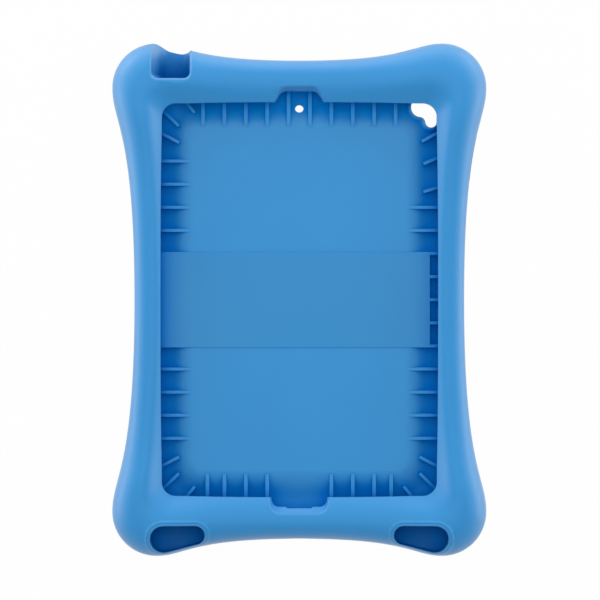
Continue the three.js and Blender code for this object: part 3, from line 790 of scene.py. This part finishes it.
def make_case():
    case = draw_skin("silicone_case", under_rings() + outer_rings() + inner_rings())
    surface = surface_under(case)
    add_band(case)
    add_straight_ribs(case)
    add_leaning_ribs(case)
    add_lens_collar(case)
    add_pad_posts(case)
    cut(case, draw_skin("panel_recess", [
        at_height(floor_outline(FOOT_REACH + RECESS_RAMP * z / PANEL_LIFT), z) for z in (-1, 0, PANEL_LIFT)
    ]))
    tablet = straight_outline(TABLET, TABLET_CORNER)
    cut(case, prism("tablet_space", tablet, TABLET_Z, LIP_UNDER_Z))
    cut(case, lip_notch(surface, 1, **CAMERA_NOTCH))
    cut(case, lip_notch(surface, -1, **HOME_NOTCH))
    cut_lens(case)
    cut_microphone(case)
    cut_headphone_notch(case)
    for side in (-1, 1):
        room = scoop_room(side, surface)
        add_scoop_bead(case, side, surface, room)
        cut_scoop(case, side, surface, room)
    cut_port(case)
    cut_pads(case)
    only(case)
    bpy.ops.object.shade_smooth_by_angle(angle=SMOOTH_BELOW)
    return case


# Shader nodes


def add_node(tree, kind, settings=None, **values):
    """A node, its settings, then what its sockets hold: a number, a colour, a Value or another node's
    first output. A socket goes by its name, or by its place, as in i0."""
    node = tree.nodes.new(kind)
    for name, setting in (settings or {}).items():
        setattr(node, name, setting)
    for name, value in values.items():
        socket = node.inputs[int(name[1:]) if name[1:].isdigit() else name.replace("_", " ")]
        if isinstance(value, Value):
            tree.links.new(value.socket, socket)
        elif isinstance(value, bpy.types.Node):
            tree.links.new(value.outputs[0], socket)
        else:
            socket.default_value = value
    return node


class Value:
    """A shader socket that takes part in sums, with each sign standing for its Math node."""

    def __init__(self, tree, socket):
        self.tree = tree
        self.socket = socket

    def maths(self, operation, *values):
        inputs = {f"i{i}": value for i, value in enumerate(values)}
        node = add_node(self.tree, "ShaderNodeMath", {"operation": operation}, **inputs)
        return Value(self.tree, node.outputs[0])

    def __add__(self, other):
        return self.maths("ADD", self, other)

    def __radd__(self, other):
        return self.maths("ADD", other, self)

    def __sub__(self, other):
        return self.maths("SUBTRACT", self, other)

    def __rsub__(self, other):
        return self.maths("SUBTRACT", other, self)

    def __mul__(self, other):
        return self.maths("MULTIPLY", self, other)

    def __rmul__(self, other):
        return self.maths("MULTIPLY", other, self)

    def size(self):
        return self.maths("ABSOLUTE", self)

    def larger(self, other):
        return self.maths("MAXIMUM", self, other)

    def between(self, low, high):
        """0 below low, 1 above high, and a soft step between them."""
        settings = {"interpolation_type": "SMOOTHSTEP"}
        node = add_node(self.tree, "ShaderNodeMapRange", settings, Value=self, From_Min=low, From_Max=high)
        return Value(self.tree, node.outputs["Result"])

    def blend(self, first, second):
        """One colour where self is 0, the other where it is 1."""
        node = add_node(self.tree, "ShaderNodeMix", {"data_type": "RGBA"}, Factor=self, i6=first, i7=second)
        return Value(self.tree, node.outputs[2])


def linear(red, green, blue):
    """A colour given as it looks on a screen, from 0 to 255, as the shader takes it."""
    shares = [v / 255 for v in (red, green, blue)]
    return (*(v / 12.92 if v <= 0.04045 else ((v + 0.055) / 1.055) ** 2.4 for v in shares), 1)


def empty_material(name):
    material = bpy.data.materials.new(name)
    material.use_nodes = True
    material.node_tree.nodes.clear()
    return material


# Silicone. Object coordinates are in metres, so its places are too.

BAND_EDGE = (0.0283, 0.0289)
BAND_TIP = (0.0772, 0.0778)
BAND_TOP = ((0.0080, 0.0083), (0.0086, 0.0090))
FAR_GUTTER_PAINTED_LIGHT = (0.095, 0.118)
# Where the gutter's painted shade gives way to the brighter painted light at the far end.
PAST_POCKET = (0.131, 0.134)

OPEN_BLUES = (linear(11, 131, 196), linear(18, 134, 199))
BAND_BLUE = linear(12, 128, 190)
# Painted shade and light in the gutter: its blue has no red and a darker green than the open silicone, as
# painted shade, and turns brighter towards the far gutter, as painted light.
GUTTER_PAINTED_SHADE_AND_LIGHT = (linear(0, 117, 200), linear(0, 142, 223))
# Painted shade in the scoop wells and the headphone notch: darker blues than the open silicone.
SCOOP_PAINTED_SHADE = linear(0, 96, 172)
JACK_PAINTED_SHADE = linear(0, 86, 158)

# How far the ambient occlusion looks, and the span of its value over which the painted shade gives way to
# the open silicone.
PAINTED_SHADE_REACH = 0.018
PAINTED_SHADE_AO = (0.4, 1)
BLOOM = 0.24
WHITE = (1, 1, 1, 1)


def silicone():
    """Cloudy where it is open and pale at grazing angles; in recesses, found by ambient occlusion, a matte
    painted shade takes over, duller and bluer, with painted light towards the far gutter.
    """
    material = empty_material("silicone")
    tree = material.node_tree
    place = Value(tree, add_node(tree, "ShaderNodeTexCoord").outputs["Object"])
    split = add_node(tree, "ShaderNodeSeparateXYZ", Vector=place)
    x, y, z = (Value(tree, socket) for socket in split.outputs)

    def noise(scale, detail):
        node = add_node(tree, "ShaderNodeTexNoise", Vector=place, Scale=scale, Detail=detail)
        return Value(tree, node.outputs["Fac"])

    cloud = noise(14, 3)
    grain = noise(1800, 2)
    speck = noise(700, 4)
    band = (1 - y.size().between(*BAND_EDGE)) * (1 - x.between(*BAND_TIP))
    band = band * z.between(*BAND_TOP[0]) * (1 - z.between(*BAND_TOP[1]))
    open_colour = band.blend(cloud.between(0.3, 0.7).blend(*OPEN_BLUES), BAND_BLUE)
    rough = 0.46 + (speck - 0.5) * 0.12 + (cloud - 0.5) * 0.08
    relief = grain * 0.6 + speck * 0.4
    bump = add_node(tree, "ShaderNodeBump", Height=relief, Strength=0.12, Distance=0.0002)
    shader = add_node(tree, "ShaderNodeBsdfPrincipled",
                      Base_Color=open_colour, Roughness=rough, IOR=1.45, Normal=bump)

    facing = add_node(tree, "ShaderNodeLayerWeight", Blend=0.5)
    share = Value(tree, facing.outputs["Facing"]) * BLOOM
    bloom = add_node(tree, "ShaderNodeBsdfGlossy", Color=WHITE, Roughness=0.5)
    bloomed = add_node(tree, "ShaderNodeMixShader", i0=share, i1=shader, i2=bloom)

    # Painted shade in recesses: where ambient occlusion finds the surface hemmed in, a plain matte in the
    # painted recess colours takes the place of the glossy silicone.
    gutter = y.between(*FAR_GUTTER_PAINTED_LIGHT).blend(*GUTTER_PAINTED_SHADE_AND_LIGHT)
    painted_shade = y.between(-PAST_POCKET[1], -PAST_POCKET[0]).blend(SCOOP_PAINTED_SHADE, gutter)
    painted_shade = y.between(*PAST_POCKET).blend(painted_shade, JACK_PAINTED_SHADE)
    painted_shade_matte = add_node(tree, "ShaderNodeBsdfDiffuse", Color=painted_shade)
    settings = {"samples": 6, "only_local": True}
    occlusion = add_node(tree, "ShaderNodeAmbientOcclusion", settings, Distance=PAINTED_SHADE_REACH)
    unoccluded = Value(tree, occlusion.outputs["AO"]).between(*PAINTED_SHADE_AO)
    finished = add_node(tree, "ShaderNodeMixShader", i0=unoccluded, i1=painted_shade_matte, i2=bloomed)
    add_node(tree, "ShaderNodeOutputMaterial", Surface=finished)
    return material


# Studio, in metres

LAMP_DISTANCE = 1.6
LAMP_TARGET = Vector((0, 0, 0.01))
SOFTBOX = (1.0, 0.7)
STRIP = (1.0, 0.5)
HIGH, LOW = 38, 12
AMBIENT = 0.2
TABLE_GREY = (0.7, 0.7, 0.7, 1)
TABLE_GLOW = 0.98
PICTURE_WIDTH = 600
PIXELS_PER_METRE = 1670
CAMERA_REACH = 1.5
GIRTH_HEIGHT = 0.013
CAMERA_PLACE = (0.00042, -0.00018)

# Each lamp: its name, its turn and height in degrees, its size and its power.
LAMPS = [
    ("far_softbox", 0, HIGH, SOFTBOX, 2.7),
    ("far_right_softbox", 45, HIGH, SOFTBOX, 2.2),
    ("right_softbox", 90, HIGH, SOFTBOX, 2.4),
    ("near_softbox", 180, 60, SOFTBOX, 1.2),
    ("left_softbox", 270, HIGH, SOFTBOX, 2.6),
    ("far_left_softbox", 315, HIGH, SOFTBOX, 2.8),
    ("far_strip", 0, LOW, STRIP, 2.6),
    ("far_right_strip", 45, LOW, STRIP, 5),
    ("right_strip", 90, LOW, STRIP, 5),
    ("left_strip", 270, LOW, STRIP, 5),
    ("far_left_strip", 315, LOW, STRIP, 6),
]


def round_the_case(turn, height):
    """A place for a lamp: its turn clockwise from the far side and its height, both in degrees."""
    turn, height = math.radians(turn), math.radians(height)
    flat = LAMP_DISTANCE * math.cos(height)
    return (flat * math.sin(turn), flat * math.cos(turn), LAMP_DISTANCE * math.sin(height))


def add_lamp(name, location, size, power):
    bpy.ops.object.light_add(type="AREA", location=location)
    lamp = bpy.context.object
    lamp.name = name
    lamp.data.shape = "RECTANGLE"
    lamp.data.size, lamp.data.size_y = size
    lamp.data.energy = power
    lamp.rotation_euler = (LAMP_TARGET - lamp.location).to_track_quat("-Z", "Y").to_euler()


def seen_or_mirrored(tree, seen_share):
    """A share for the camera's own rays, and 1 for those that come off gloss or through glass."""
    path = add_node(tree, "ShaderNodeLightPath")
    seen = Value(tree, path.outputs["Is Camera Ray"]) * seen_share
    mirrored = seen.larger(Value(tree, path.outputs["Is Glossy Ray"]))
    return mirrored.larger(Value(tree, path.outputs["Is Transmission Ray"]))


def white_floor():
    """A table that glows white where it is seen or mirrored, and is plain matte to every other ray."""
    bpy.ops.mesh.primitive_plane_add(size=6, location=(0, 0, 0))
    floor = bpy.context.object
    floor.name = "floor"
    material = empty_material("white_table")
    tree = material.node_tree
    matte = add_node(tree, "ShaderNodeBsdfDiffuse", Color=TABLE_GREY)
    glow = add_node(tree, "ShaderNodeEmission")
    share = seen_or_mirrored(tree, TABLE_GLOW)
    either = add_node(tree, "ShaderNodeMixShader", i0=share, i1=matte, i2=glow)
    add_node(tree, "ShaderNodeOutputMaterial", Surface=either)
    floor.data.materials.append(material)


def white_room():
    """Plain white where it is seen or mirrored, and a weak even light elsewhere."""
    world = bpy.data.worlds.new("room")
    bpy.context.scene.world = world
    world.use_nodes = True
    tree = world.node_tree
    background = tree.nodes["Background"]
    background.inputs["Color"].default_value = WHITE
    strength = AMBIENT + seen_or_mirrored(tree, 1) * (1 - AMBIENT)
    tree.links.new(strength.socket, background.inputs["Strength"])


def camera_above():
    """Straight above the case, with the picture's scale met at the height of the case's girth."""
    location = (*CAMERA_PLACE, GIRTH_HEIGHT + CAMERA_REACH)
    bpy.ops.object.camera_add(location=location, rotation=(0, 0, 0))
    camera = bpy.context.object
    camera.data.sensor_width = 36
    camera.data.lens = camera.data.sensor_width * CAMERA_REACH / (PICTURE_WIDTH / PIXELS_PER_METRE)
    camera.data.dof.use_dof = False
    bpy.context.scene.camera = camera


case = make_case()
case.data.materials.clear()
case.data.materials.append(silicone())
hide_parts("tablet_case")
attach(case, "root")

white_floor()
white_room()
add_lamp("overhead", (0, 0.2, 1.7), (1.2, 1.2), 9.9)
for name, turn, height, size, power in LAMPS:
    add_lamp(name, round_the_case(turn, height), size, power)
camera_above()
bpy.context.scene.view_settings.view_transform = "Standard"
